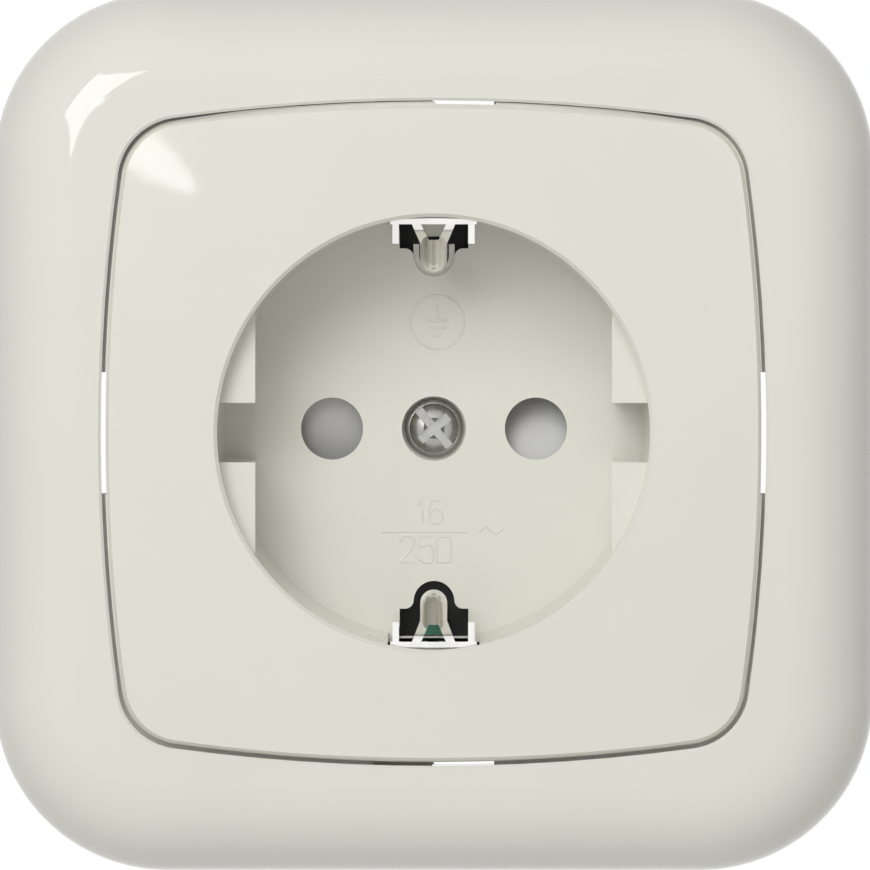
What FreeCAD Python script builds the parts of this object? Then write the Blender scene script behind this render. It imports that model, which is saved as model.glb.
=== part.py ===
import FreeCAD, Part
import math
import os

# Type F wall socket for a round wall box. Millimetres.
# The origin is on the axis of the plug well, in the plane of the wall: X to the right and Z up
# as seen from the room, Y into the wall.

# cover frame
FRAME_SIDE = 81.5
FRAME_CORNER_R = 16.0
FRAME_HEIGHT = 10.5
FRAME_ROUND = 8.0
FRAME_BORDER = 10.0
FRAME_WALL = 2.0
OPENING_EDGE = 0.25
FLANGE_WALL = 1.4
LEDGE_WIDTH = 1.3
LEDGE_THICK = 1.5
LEDGE_NOTCH = 11.2
NOTCH_DEPTH = 0.5

# centre plate: bowed square, slightly domed, with the plug well in it
PLATE_BOW_R = 178.0
PLATE_CORNER_R = 5.5
PLATE_GAP = 0.45
PLATE_APEX = 0.8
DOME_R = 450.0
PLATE_SKIN = 2.2
PLATE_LIP = 2.0
PLATE_EDGE = 0.3
SKIRT_WALL = 1.4
SKIRT_HEIGHT = 4.1
LIP_PLAY = 0.2

# plug well
WELL_R = 20.0
WELL_DRAFT = 0.5
WELL_DEPTH = 17.5
WELL_WALL = 1.6
WELL_RIM = 0.35
FLOOR_THICK = 2.0
FLAT_INSET = 3.5
FLAT_BELOW_RIM = 3.0
KEY_WIDTH = 5.5
PIN_SPACING = 19.0
PIN_HOLE_R = 2.9
BOSS_R = 4.8
SEAT_R = 3.0
SEAT_DEPTH = 2.4
COLLAR_WALL = 2.4
COLLAR_LENGTH = 3.66
BOW_GAP = 0.65
RETAINER_PLAY = 0.3

# earth bow: one strip with a sprung contact at each end
EARTH_THICK = 0.6
EARTH_WIDTH = 8.0
EARTH_LEG_OUT = 0.35
EARTH_BELOW_RIM = 1.3
EARTH_CROSSBAR = 0.7
EARTH_SLOPE_DEPTH = 4.4
EARTH_NECK = 2.5
EARTH_REACH = 5.4
EARTH_REACH_DEPTH = 7.4
EARTH_SPRING_BACK = 1.3
EARTH_RIB_R = 1.25
EARTH_RIB_ROOT = 0.75
EARTH_RIB_FROM_TOP = 1.7
EARTH_RIB_BEND_R = 2.5
EARTH_SHOULDER_WIDTH = 4.0
EARTH_WINDOW_WIDTH = 2.3
EARTH_WINDOW_NECK = 0.9
EARTH_WINDOW_LENGTH = 1.5
EARTH_EAR = 2.5
EARTH_EAR_LENGTH = 5.2
EARTH_EAR_INSET = 0.2
EARTH_BEND_R = 0.55
EARTH_TIP_PAST_FLOOR = 2.6
EARTH_THREAD_WALL = 1.1
EARTH_THREAD_LENGTH = 1.6
EARTH_PLAY = 0.25
ARCH_PLAY = 0.65
ARCH_OVER = 0.4
ARCH_SHOULDER = 0.7
ARCH_FLARE_R = 0.8

# shutter and its retainer
SHUTTER_PLAY = 0.2
SHUTTER_BORE_PLAY = 0.15
SHUTTER_HUB_WALL = 1.4
SHUTTER_R = 13.2
SHUTTER_HALF_ANGLE = 20.0
SHUTTER_RAMP_DEPTH = 2.5
RETAINER_THICK = 1.2
RETAINER_HOLE_PLAY = 0.2
SPRING_X = 11.0
SPRING_THICK = 0.25
SPRING_WIDTH = 2.0
SPRING_BEND_R = 0.5
SPRING_FOOT = -13.2
SPRING_GAP = 0.1
SPRING_LUG = 1.4

# centre screw
SCREW_R = 1.45
SCREW_HEAD_R = 2.75
SCREW_FLANGE_THICK = 0.6
SCREW_DOME_R = 2.4
SCREW_DOME_HEIGHT = 1.3
SCREW_SLOT_WIDTH = 0.75
SCREW_SLOT_DEPTH = 0.9
SCREW_SLOT_ANGLE = 50.0
SCREW_CROSS_LENGTH = 3.0
SCREW_LENGTH = 12.0
SCREW_PLAY = 0.25

# mounting ring on the wall
RING_INSET = 5.25
RING_CORNER_R = 5.0
RING_THICK = 1.2
RING_BORE_PLAY = 0.5
BOX_SCREW_SPACING = 60.0
SLOT_WIDTH = 4.0
SIDE_SLOT_LENGTH = 12.4
END_SLOT_FROM = -0.2
END_SLOT_TO = 7.0
RIVET_R = 1.2
RIVET_HEAD_R = 2.2
RIVET_HEAD_TOP_R = 1.5
RIVET_HEAD = 0.8
RIVET_LENGTH = 6.0
RIVET_FROM_BORE = 0.2
FIT = 0.05

# socket base
BASE_HALF_WIDTH = 21.0
BASE_WALL = 5.0
BASE_COLLAR_HALF = 16.0
BASE_RECESS_PLAY = 0.4
BASE_DEPTH = 29.0
BOW_RIB_HALF = 1.2
BOW_RIB_WIDTH = 1.35
BOW_RIB_GAP = 0.5
BOW_RIB_PLAY = 0.2
BOW_BASE_PLAY = 0.25
POCKET_WALL = 1.35
POCKET_HALF = 4.0
POCKET_END = 14.4
PIN_ENTRY_R = 3.2
SCREW_WELL_R = 2.9
SCREW_WELL_DEPTH = 8.0
COVER_THICK = 1.8
COVER_SCREW_INSET = 4.0
COVER_SCREW_Z = 16.0
COVER_SCREW_R = 1.2
COVER_SCREW_HEAD_R = 2.3
COVER_SCREW_HEAD = 1.3
COVER_SCREW_LENGTH = 8.0

# contacts and wire clamps
CONTACT_THICK = 0.6
CONTACT_HALF_HEIGHT = 3.5
CONTACT_GRIP = 2.3
CONTACT_SPREAD = 2.7
CONTACT_FLARE = 2.4
CONTACT_MOUTH = 0.2
CONTACT_BEND_R = 0.8
CONTACT_PLAY = 0.1
TAIL_AT = 5.5
TAIL_THICK = 0.8
TAIL_SHORT = 2.0
TERMINAL_END = 1.0
WIRE_HOLE_R = 1.45
WIRE_SPACING = 3.8
WIRE_SPACE = 3.0
CLAMP_THICK = 0.4
CLAMP_WIDTH = 5.4
CLAMP_BEND_R = 1.0
CLAMP_FOOT = 2.0
CLAMP_END = 1.8
CLAMP_FREE_END = 3.6
CLAMP_GAP = 0.6
BUTTON_WIDTH = 3.6
BUTTON_HEIGHT = 3.0
BUTTON_AT = 11.7
BUTTON_PROUD = 1.4
BUTTON_EDGE_R = 0.4
BUTTON_ROOT = 1.0
BUTTON_FLANGE = 0.5
BUTTON_FLANGE_THICK = 1.0
BUTTON_NOSE = 1.5
BUTTON_PLAY = 0.15
NOSE_GAP = 0.55

# claws
CLAW_SCREW_OUT = 4.0
CLAW_WELL_PLAY = 0.3
CLAW_SCREW_R = 1.5
CLAW_SCREW_HEAD_R = 2.7
CLAW_SCREW_HEAD = 2.0
CLAW_SCREW_SHORT = 0.5
CLAW_HOLE_PLAY = 0.2
CLAW_SLOPE = 0.5
CLAW_HALF_WIDTH = 4.6
CLAW_FROM_BACK = 3.5
CLAW_PLATE = 2.5
CLAW_LENGTH = 7.5
CLAW_HOOK_PAST_SCREW = 1.9
CLAW_PAST_SCREW = 3.4
CLAW_TOOTH = 0.5
CLAW_TEETH = 4
RAMP_IN = 3.2
RAMP_FROM_BACK = 2.0
RAMP_LENGTH = 12.0
RAMP_PLAY = 0.17
RAMP_ROOT = 0.5
NUT_HALF = 2.8
NUT_THICK = 2.4
NUT_PLAY = 0.1

# places that follow from the sizes above
OPENING_HALF = FRAME_SIDE / 2 - FRAME_BORDER
PLATE_HALF = OPENING_HALF - PLATE_GAP
PLATE_APEX_Y = -(FRAME_HEIGHT + PLATE_APEX)
DOME_CENTRE_Y = PLATE_APEX_Y + DOME_R
WELL_FLOOR_R = WELL_R - WELL_DRAFT
WELL_OUTER_R = WELL_R + WELL_WALL
RIM_Y = DOME_CENTRE_Y - math.sqrt(DOME_R**2 - WELL_R**2)
FLOOR_Y = RIM_Y + WELL_DEPTH
FLOOR_BACK_Y = FLOOR_Y + FLOOR_THICK
FLAT_HALF = WELL_R - FLAT_INSET
PLATE_SIDE_Y = DOME_CENTRE_Y - math.sqrt(DOME_R**2 - PLATE_HALF**2)
LIP_BACK_Y = PLATE_SIDE_Y + PLATE_LIP
LEDGE_FRONT_Y = LIP_BACK_Y + LIP_PLAY
LEDGE_BACK_Y = LEDGE_FRONT_Y + LEDGE_THICK
LEDGE_HALF = OPENING_HALF - LEDGE_WIDTH
SKIRT_HALF = LEDGE_HALF - LIP_PLAY
RETAINER_Y = FLOOR_BACK_Y + COLLAR_LENGTH
RETAINER_BACK_Y = RETAINER_Y + RETAINER_THICK
PIN_X = PIN_SPACING / 2
SEAT_Y = FLOOR_Y + SEAT_DEPTH
BOW_Y = RETAINER_BACK_Y + BOW_GAP
BOW_BACK_Y = BOW_Y + EARTH_THICK
EARTH_LEG_Z = WELL_R + EARTH_LEG_OUT
EARTH_NOTCH_Z = EARTH_LEG_Z + EARTH_THICK / 2 + EARTH_PLAY
EARTH_SLOT_HALF = EARTH_WIDTH / 2 + EARTH_PLAY
EARTH_TOP_Y = RIM_Y + EARTH_BELOW_RIM
EARTH_CROSSBAR_Z = WELL_R - EARTH_CROSSBAR
EARTH_BULGE_Z = WELL_R - EARTH_REACH
EARTH_TIP_Y = FLOOR_Y + EARTH_TIP_PAST_FLOOR
EARTH_EAR_X = EARTH_WIDTH / 2 - EARTH_EAR_INSET
ARCH_R = EARTH_RIB_R + ARCH_PLAY
ARCH_Z = EARTH_BULGE_Z + ARCH_R - ARCH_OVER
BOW_RIB_Z = EARTH_LEG_Z - EARTH_THICK / 2 - EARTH_BEND_R - BOW_RIB_PLAY
BOW_RIB_Y = FLOOR_BACK_Y + BOW_RIB_GAP
RING_SIDE = FRAME_SIDE - 2 * RING_INSET
BASE_RECESS_R = WELL_OUTER_R + BASE_RECESS_PLAY
BASE_R = BASE_RECESS_R + BASE_WALL
RING_BORE_R = BASE_RECESS_R + RING_BORE_PLAY
RIVET_Z = RING_BORE_R + RIVET_HEAD_R + RIVET_FROM_BORE
BASE_FLOOR_Y = BOW_BACK_Y + BOW_BASE_PLAY
POCKET_Y = BASE_FLOOR_Y + POCKET_WALL
COVER_Y = BASE_DEPTH
COVER_BACK_Y = COVER_Y + COVER_THICK
CLAW_SCREW_X = max(BASE_HALF_WIDTH + CLAW_SCREW_OUT, WELL_OUTER_R + CLAW_SCREW_HEAD_R + CLAW_WELL_PLAY)
COVER_SCREW_X = BASE_HALF_WIDTH - COVER_SCREW_INSET
SHUTTER_Y = FLOOR_BACK_Y + SHUTTER_PLAY
SHUTTER_BACK_Y = RETAINER_Y - SHUTTER_PLAY
SHUTTER_BORE_R = BOSS_R + SHUTTER_BORE_PLAY
CLAMP_AT = POCKET_END - CONTACT_PLAY - CLAMP_THICK / 2
CLAMP_FOOT_Y = POCKET_Y + CLAMP_FOOT
CLAMP_FREE_Y = BASE_DEPTH - CLAMP_FREE_END
CLAMP_FREE_Z = TAIL_AT + TAIL_THICK + CLAMP_GAP
CLAW_HOOK_IN = CLAW_SCREW_X + CLAW_HOOK_PAST_SCREW
CLAW_OUT = CLAW_SCREW_X + CLAW_PAST_SCREW
CLAW_BACK = BASE_DEPTH - CLAW_FROM_BACK
CLAW_FRONT = CLAW_BACK - CLAW_PLATE
CLAW_TIP = CLAW_BACK - CLAW_LENGTH
RAMP_BACK = BASE_DEPTH - RAMP_FROM_BACK
RAMP_FRONT = RAMP_BACK - RAMP_LENGTH
FAR = 100.0
OVER = 1.0
ROOT = 0.5

V = FreeCAD.Vector
FORWARD = V(0, 1, 0)


def box(x0, x1, y0, y1, z0, z1):
    return Part.makeBox(x1 - x0, y1 - y0, z1 - z0, V(x0, y0, z0))


def rod(r, y0, y1, x=0.0, z=0.0):
    return Part.makeCylinder(r, y1 - y0, V(x, y0, z), FORWARD)


def tube(outer, inner, y0, y1):
    return rod(outer, y0, y1).cut(rod(inner, y0 - OVER, y1 + OVER))


def prism(points, height, direction):
    """Closed outline of points, pulled along the direction."""
    outline = Part.makePolygon(list(points) + [points[0]])
    return Part.Face(outline).extrude(direction * height)


def half_turn(shape):
    """The same shape turned half a turn about the well's axis."""
    turned = shape.copy()
    turned.rotate(V(0, 0, 0), FORWARD, 180)
    return turned


def mirrored_x(shape):
    return shape.mirror(V(0, 0, 0), V(1, 0, 0))


def mirrored_z(shape):
    return shape.mirror(V(0, 0, 0), V(0, 0, 1))


def fuse(shapes):
    return shapes[0].multiFuse(list(shapes[1:])).removeSplitter()


def edges_along_y(shape):
    return [e for e in shape.Edges if len(e.Vertexes) == 2
            and abs((e.Vertexes[1].Point - e.Vertexes[0].Point).normalize().y) > 0.999]


def edges_in_front_of(y, shape):
    return [e for e in shape.Edges if e.BoundBox.YMax < y]


def revolved(points):
    """Solid turned about the well's axis from an outline of (radius, y) points."""
    outline = [V(r, y, 0) for r, y in points]
    return Part.Face(Part.makePolygon(outline + [outline[0]])).revolve(V(0, 0, 0), FORWARD, 360)


def rounded_block(side, corner_r, y0, y1):
    half = side / 2
    block = box(-half, half, y0, y1, -half, half)
    return block.makeFillet(corner_r, edges_along_y(block))


def bowed_block(half, inset_from_plate, y0, y1):
    """Square block whose four sides bow outwards, with round corners."""
    bow_r = PLATE_BOW_R - inset_from_plate
    corner_r = PLATE_CORNER_R - inset_from_plate
    centre = bow_r - half
    corner = (math.sqrt(2 * bow_r**2 - centre**2) - centre) / 2
    turns = [(1, 0), (0, 1), (-1, 0), (0, -1)]
    sides = []
    for c, s in turns:
        start, middle, end = (V(c * x - s * z, y0, s * x + c * z)
                              for x, z in ((corner, -corner), (half, 0), (corner, corner)))
        sides.append(Part.Arc(start, middle, end).toShape())
    block = Part.Face(Part.Wire(sides)).extrude(FORWARD * (y1 - y0))
    return block.makeFillet(corner_r, edges_along_y(block))


def dome(below_surface):
    return Part.makeSphere(DOME_R - below_surface, V(0, DOME_CENTRE_Y, 0))


def bent_strip(route, thick, half_width, radius):
    """Strip bent along a route of (u, y) points, with round bends, centred across x = 0.

    The route lies in the Z-Y plane, u being the height.
    """
    sides = {1: [], -1: []}
    count = len(route)
    for side in sides:
        offset = side * thick / 2
        at = None
        for i, point in enumerate(route):
            here = V(0, point[1], point[0])
            before = (here - V(0, route[i - 1][1], route[i - 1][0])).normalize() if i else None
            after = None
            if i < count - 1:
                after = (V(0, route[i + 1][1], route[i + 1][0]) - here).normalize()
            if before is None or after is None:
                way = after if before is None else before
                end = here + V(0, -way.z, way.y) * offset
                if at is not None:
                    sides[side].append(Part.LineSegment(at, end).toShape())
                at = end
                continue
            turn = before.getAngle(after)
            inward = (after - before).normalize()
            centre = here + inward * (radius / math.cos(turn / 2))
            reach = radius * math.tan(turn / 2)
            start = here - before * reach + V(0, -before.z, before.y) * offset
            end = here + after * reach + V(0, -after.z, after.y) * offset
            bend_r = (start - centre).Length
            middle = centre - inward * bend_r
            sides[side].append(Part.LineSegment(at, start).toShape())
            sides[side].append(Part.Arc(start, middle, end).toShape())
            at = end
    left, right = Part.Wire(sides[1]), Part.Wire(sides[-1])
    caps = []
    for index in (0, -1):
        a = left.OrderedVertexes[index].Point
        b = right.OrderedVertexes[index].Point
        caps.append(Part.LineSegment(a, b).toShape())
    outline = Part.Wire(Part.__sortEdges__(left.Edges + right.Edges + caps))
    strip = Part.Face(outline).extrude(V(2 * half_width, 0, 0))
    strip.translate(V(-half_width, 0, 0))
    return strip


def cover_frame():
    body = rounded_block(FRAME_SIDE, FRAME_CORNER_R, -FRAME_HEIGHT, 0)
    body = body.makeFillet(FRAME_ROUND, edges_in_front_of(FIT - FRAME_HEIGHT, body))
    hollow = rounded_block(FRAME_SIDE - 2 * FRAME_WALL, FRAME_CORNER_R - FRAME_WALL,
                           -FRAME_HEIGHT + FRAME_WALL, 0)
    bevel = (FRAME_ROUND - FRAME_WALL) * (2 - math.sqrt(2))
    hollow = hollow.makeChamfer(bevel, edges_in_front_of(FRAME_WALL + FIT - FRAME_HEIGHT, hollow))
    flange_out = bowed_block(OPENING_HALF + FLANGE_WALL, -PLATE_GAP - FLANGE_WALL,
                             -FRAME_HEIGHT + FRAME_WALL / 2, LEDGE_BACK_Y)
    opening = bowed_block(OPENING_HALF, -PLATE_GAP, -FRAME_HEIGHT - OVER, LEDGE_FRONT_Y)
    through = bowed_block(LEDGE_HALF, PLATE_HALF - LEDGE_HALF, -FRAME_HEIGHT - OVER, OVER)
    frame = body.cut(hollow).fuse(flange_out).cut(opening).cut(through)
    notch = LEDGE_NOTCH / 2
    see_through = bowed_block(OPENING_HALF, -PLATE_GAP, LEDGE_FRONT_Y - NOTCH_DEPTH,
                              LEDGE_BACK_Y + OVER)
    frame = frame.cut(see_through.common(fuse([
        box(-FAR, FAR, -FAR, FAR, -notch, notch), box(-notch, notch, -FAR, FAR, -FAR, FAR)])))
    lip = [e for e in edges_in_front_of(FIT - FRAME_HEIGHT, frame)
           if max(abs(e.CenterOfMass.x), abs(e.CenterOfMass.z)) < OPENING_HALF + OPENING_EDGE]
    return frame.makeChamfer(OPENING_EDGE, lip)


def earth_openings():
    """Cuts for the upper earth contact, in the floor and down the wall of the well."""
    slot = box(-EARTH_SLOT_HALF, EARTH_SLOT_HALF, EARTH_TOP_Y - EARTH_THICK, RETAINER_Y + OVER,
               WELL_FLOOR_R - OVER, EARTH_NOTCH_Z)
    front, back = FLOOR_Y - OVER, FLOOR_BACK_Y + OVER
    half = EARTH_EAR_X - EARTH_THICK
    shoulder = ARCH_Z + ARCH_SHOULDER
    opening = fuse([box(-half, half, front, back, shoulder, EARTH_NOTCH_Z),
                    rod(ARCH_R, front, back, 0, ARCH_Z)])
    corners = [e for e in edges_along_y(opening) if abs(e.Vertexes[0].Point.x) < ARCH_R
               and abs(e.Vertexes[0].Point.z - shoulder) < FIT]
    return slot.fuse(opening.makeFillet(ARCH_FLARE_R, corners))


def plate_shell():
    lip = bowed_block(PLATE_HALF, 0, PLATE_APEX_Y - OVER, LIP_BACK_Y).common(dome(0))
    lip = lip.makeChamfer(PLATE_EDGE, edges_in_front_of(LIP_BACK_Y - PLATE_LIP / 4, lip))
    inset = PLATE_HALF - SKIRT_HALF
    skirt_back = LIP_BACK_Y + SKIRT_HEIGHT
    skirt = bowed_block(SKIRT_HALF, inset, LIP_BACK_Y - PLATE_LIP / 2, skirt_back)
    inner = bowed_block(SKIRT_HALF - SKIRT_WALL, inset + SKIRT_WALL, PLATE_APEX_Y, skirt_back + OVER)
    return lip.fuse(skirt).cut(inner.common(dome(PLATE_SKIN)))


def well():
    """Space of the plug well, with its bevelled rim."""
    rim = WELL_RIM + OVER
    return revolved([(0, PLATE_APEX_Y - 2 * OVER), (WELL_R + rim, PLATE_APEX_Y - 2 * OVER),
                     (WELL_R + rim, RIM_Y - OVER), (WELL_R, RIM_Y + WELL_RIM),
                     (WELL_FLOOR_R, FLOOR_Y), (0, FLOOR_Y)])


def centre_plate():
    well_tube = rod(WELL_OUTER_R, RIM_Y + PLATE_SKIN / 2, FLOOR_BACK_Y)
    collar = tube(WELL_OUTER_R, WELL_OUTER_R - COLLAR_WALL, FLOOR_BACK_Y - ROOT, RETAINER_Y)
    plate = plate_shell().fuse(well_tube).cut(well())
    flats = rod(WELL_R + WELL_WALL / 2, RIM_Y + FLAT_BELOW_RIM, FLOOR_Y + ROOT)
    flats = flats.cut(box(-FLAT_HALF, FLAT_HALF, -FAR, FAR, -FAR, FAR))
    flats = flats.cut(box(-FAR, FAR, -FAR, FAR, -KEY_WIDTH / 2, KEY_WIDTH / 2))
    boss = rod(BOSS_R, FLOOR_BACK_Y - ROOT, BOW_Y)
    lug = box(SPRING_X - SPRING_LUG, SPRING_X + SPRING_LUG, FLOOR_BACK_Y - ROOT, SHUTTER_BACK_Y,
              SPRING_FOOT - SPRING_LUG, SPRING_FOOT)
    plate = fuse([plate, collar, flats, boss, lug])
    cuts = [rod(SCREW_R + SCREW_PLAY, FLOOR_Y - OVER, BOW_Y + OVER), rod(SEAT_R, FLOOR_Y - OVER, SEAT_Y)]
    cuts += [rod(PIN_HOLE_R, FLOOR_Y - OVER, FLOOR_BACK_Y + OVER, x) for x in (-PIN_X, PIN_X)]
    upper = earth_openings()
    cuts += [upper, mirrored_z(upper)]
    return plate.cut(fuse(cuts))


def centre_screw():
    dome_y = SEAT_Y - SCREW_FLANGE_THICK
    flange = rod(SCREW_HEAD_R, dome_y, SEAT_Y)
    flange = flange.makeChamfer(SCREW_FLANGE_THICK / 3, edges_in_front_of(dome_y + FIT, flange))
    top = dome_y - SCREW_DOME_HEIGHT
    ball_r = (SCREW_DOME_R**2 + SCREW_DOME_HEIGHT**2) / (2 * SCREW_DOME_HEIGHT)
    ball = Part.makeSphere(ball_r, V(0, top + ball_r, 0))
    head = ball.common(rod(SCREW_DOME_R, top, dome_y + FIT))
    half = SCREW_SLOT_WIDTH / 2
    slot = box(-SCREW_HEAD_R, SCREW_HEAD_R, top - OVER, top + SCREW_SLOT_DEPTH, -half, half)
    slot.rotate(V(0, 0, 0), FORWARD, SCREW_SLOT_ANGLE)
    reach = SCREW_CROSS_LENGTH / 2
    cross = box(-reach, reach, top - OVER, top + SCREW_SLOT_DEPTH, -half, half)
    cross.rotate(V(0, 0, 0), FORWARD, SCREW_SLOT_ANGLE - 90)
    shank = rod(SCREW_R, dome_y + FIT, SEAT_Y + SCREW_LENGTH)
    tip = Part.makeCone(SCREW_R, SCREW_R / 2, SCREW_R / 2, V(0, SEAT_Y + SCREW_LENGTH, 0), FORWARD)
    return fuse([flange, head, shank, tip]).cut(slot).cut(cross)


def shutter_arm():
    """Right arm: a sector whose front slopes away from the plug towards its top."""
    low, high = -SHUTTER_R * 0.4, SHUTTER_R * 0.4
    ramp_from = -PIN_HOLE_R
    ramp_to = SHUTTER_R * math.sin(math.radians(SHUTTER_HALF_ANGLE))
    deep = SHUTTER_Y + SHUTTER_RAMP_DEPTH
    profile = [V(0, SHUTTER_Y, low), V(0, SHUTTER_Y, ramp_from), V(0, deep, ramp_to),
               V(0, deep, high), V(0, SHUTTER_BACK_Y, high), V(0, SHUTTER_BACK_Y, low)]
    ramp = prism(profile, SHUTTER_R + 1, V(1, 0, 0))
    angle = math.radians(SHUTTER_HALF_ANGLE)
    far_x, far_z = FAR * math.cos(angle), FAR * math.sin(angle)
    sector = prism([V(0, 0, 0), V(far_x, 0, far_z), V(far_x, 0, -far_z)], FAR, FORWARD)
    ring = tube(SHUTTER_R, SHUTTER_BORE_R + SHUTTER_HUB_WALL / 2, SHUTTER_Y, SHUTTER_BACK_Y)
    return ramp.common(sector).common(ring)


def shutter():
    hub = tube(SHUTTER_BORE_R + SHUTTER_HUB_WALL, SHUTTER_BORE_R, SHUTTER_Y, SHUTTER_BACK_Y)
    arm = shutter_arm()
    return fuse([hub, arm, half_turn(arm)])


def shutter_spring():
    """Folded leaf between its lug and the right arm of the shutter."""
    edge = (SPRING_X + SPRING_WIDTH / 2) * math.tan(math.radians(SHUTTER_HALF_ANGLE))
    top = -edge - SPRING_GAP - SPRING_THICK / 2
    foot = SPRING_FOOT + SPRING_GAP + SPRING_THICK / 2
    front, back = SHUTTER_Y + SPRING_THICK, SHUTTER_BACK_Y - SPRING_THICK
    route = [(foot, back), (foot, front), ((foot + top) / 2, back), (top, front), (top, back)]
    leaf = bent_strip(route, SPRING_THICK, SPRING_WIDTH / 2, SPRING_BEND_R)
    leaf.translate(V(SPRING_X, 0, 0))
    return leaf


def rib_hole(front, back):
    """Hole for the base's upper rib, in what lies in front of the base."""
    half = BOW_RIB_HALF + BOW_RIB_PLAY
    return box(-half, half, front - OVER, back + OVER,
               BOW_RIB_Z - BOW_RIB_WIDTH - BOW_RIB_PLAY, BOW_RIB_Z + BOW_RIB_PLAY)


def shutter_retainer():
    front, back = RETAINER_Y - OVER, RETAINER_BACK_Y + OVER
    disc = rod(WELL_OUTER_R - RETAINER_PLAY, RETAINER_Y, RETAINER_BACK_Y)
    cuts = [rod(BOSS_R + RETAINER_HOLE_PLAY, front, back)]
    cuts += [rod(PIN_HOLE_R + RETAINER_HOLE_PLAY, front, back, x) for x in (-PIN_X, PIN_X)]
    notch = box(-EARTH_SLOT_HALF, EARTH_SLOT_HALF, front, back,
                EARTH_LEG_Z - EARTH_THICK / 2 - 2 * EARTH_PLAY, FAR)
    notch = notch.fuse(rib_hole(RETAINER_Y, RETAINER_BACK_Y))
    return disc.cut(fuse(cuts + [notch, mirrored_z(notch)]))


def slot_hole(x, z, length, along_x):
    """Slot through the mounting ring, with round ends."""
    r = SLOT_WIDTH / 2
    half = length / 2 - r
    dx, dz = (half, 0) if along_x else (0, half)
    front, back = -RING_THICK - OVER, OVER
    middle = box(x - max(dx, r), x + max(dx, r), front, back, z - max(dz, r), z + max(dz, r))
    ends = [rod(r, front, back, x + s * dx, z + s * dz) for s in (-1, 1)]
    return fuse([middle] + ends)


def ring_holes():
    reach = BOX_SCREW_SPACING / 2
    end_middle = (END_SLOT_FROM + END_SLOT_TO) / 2
    end_length = END_SLOT_TO - END_SLOT_FROM
    front, back = -RING_THICK - OVER, OVER
    holes = []
    for side in (-1, 1):
        holes += [slot_hole(side * reach, 0, SIDE_SLOT_LENGTH, False),
                  slot_hole(end_middle, side * reach, end_length, True),
                  rod(CLAW_SCREW_R + CLAW_HOLE_PLAY, front, back, side * CLAW_SCREW_X),
                  rod(RIVET_R + FIT, front, back, 0, side * RIVET_Z)]
    return holes


def mounting_ring():
    plate = rounded_block(RING_SIDE, RING_CORNER_R, -RING_THICK, 0)
    return plate.cut(fuse([rod(RING_BORE_R, -RING_THICK - OVER, OVER)] + ring_holes()))


def ring_rivets():
    rivets = []
    for z in (-RIVET_Z, RIVET_Z):
        head = Part.makeCone(RIVET_HEAD_TOP_R, RIVET_HEAD_R, RIVET_HEAD,
                             V(0, -RING_THICK - RIVET_HEAD, z), FORWARD)
        rivets.append(fuse([head, rod(RIVET_R, -RING_THICK - FIT, RIVET_LENGTH, 0, z)]))
    return Part.makeCompound(rivets)


def base_outline(y0, y1):
    block = rod(BASE_R, y0, y1)
    return block.common(box(-BASE_HALF_WIDTH, BASE_HALF_WIDTH, y0, y1, -FAR, FAR))


def claw_ramps():
    """Sloping rails on the right side of the base that spread the claw."""
    foot = BASE_HALF_WIDTH - RAMP_ROOT
    rise = RAMP_LENGTH * CLAW_SLOPE
    points = [(foot, RAMP_BACK), (BASE_HALF_WIDTH, RAMP_BACK),
              (BASE_HALF_WIDTH + rise, RAMP_FRONT), (foot, RAMP_FRONT)]
    rails = []
    for z in (RAMP_IN, -CLAW_HALF_WIDTH):
        outline = [V(x, y, z) for x, y in points]
        rails.append(prism(outline, CLAW_HALF_WIDTH - RAMP_IN, V(0, 0, 1)))
    return rails


def pocket(x, low, high):
    return box(x - POCKET_HALF, x + POCKET_HALF, POCKET_Y, BASE_DEPTH + OVER, low, high)


def bow_rib():
    """Upper rib that stands through the bow and keeps it in line."""
    return box(-BOW_RIB_HALF, BOW_RIB_HALF, BOW_RIB_Y, BASE_FLOOR_Y + OVER,
               BOW_RIB_Z - BOW_RIB_WIDTH, BOW_RIB_Z)


def socket_base():
    collar_side = box(BASE_COLLAR_HALF, FAR, -OVER, BASE_FLOOR_Y, -FAR, FAR)
    base = base_outline(0, BASE_DEPTH).cut(rod(BASE_RECESS_R, -OVER, BASE_FLOOR_Y))
    base = base.cut(collar_side).cut(mirrored_x(collar_side))
    rails, rib = claw_ramps(), bow_rib()
    base = fuse([base, rib, mirrored_z(rib)] + rails + [mirrored_x(r) for r in rails])
    fork_end = -CONTACT_HALF_HEIGHT - 4 * CONTACT_PLAY
    terminal_top = -TAIL_AT + 2 * CONTACT_PLAY
    cuts = [pocket(side * PIN_X, fork_end, POCKET_END) for side in (-1, 1)]
    cuts += [rod(PIN_ENTRY_R, BASE_FLOOR_Y - OVER, POCKET_Y + OVER, side * PIN_X) for side in (-1, 1)]
    cuts.append(pocket(0, -POCKET_END, terminal_top))
    cuts.append(box(-POCKET_HALF, POCKET_HALF, BASE_FLOOR_Y - OVER, POCKET_Y + OVER,
                    -POCKET_END, terminal_top))
    cuts.append(rod(SCREW_WELL_R, BASE_FLOOR_Y - OVER, BASE_FLOOR_Y + SCREW_WELL_DEPTH))
    cuts += [rod(RIVET_R + FIT, -OVER, RIVET_LENGTH + FIT, 0, z) for z in (-RIVET_Z, RIVET_Z)]
    cuts += [rod(COVER_SCREW_R + FIT, BASE_DEPTH - COVER_SCREW_LENGTH, BASE_DEPTH + OVER, x, z)
             for x, z in cover_screw_places()]
    return base.cut(fuse(cuts))


def cover_screw_places():
    return [(COVER_SCREW_X, -COVER_SCREW_Z), (-COVER_SCREW_X, COVER_SCREW_Z)]


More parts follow.
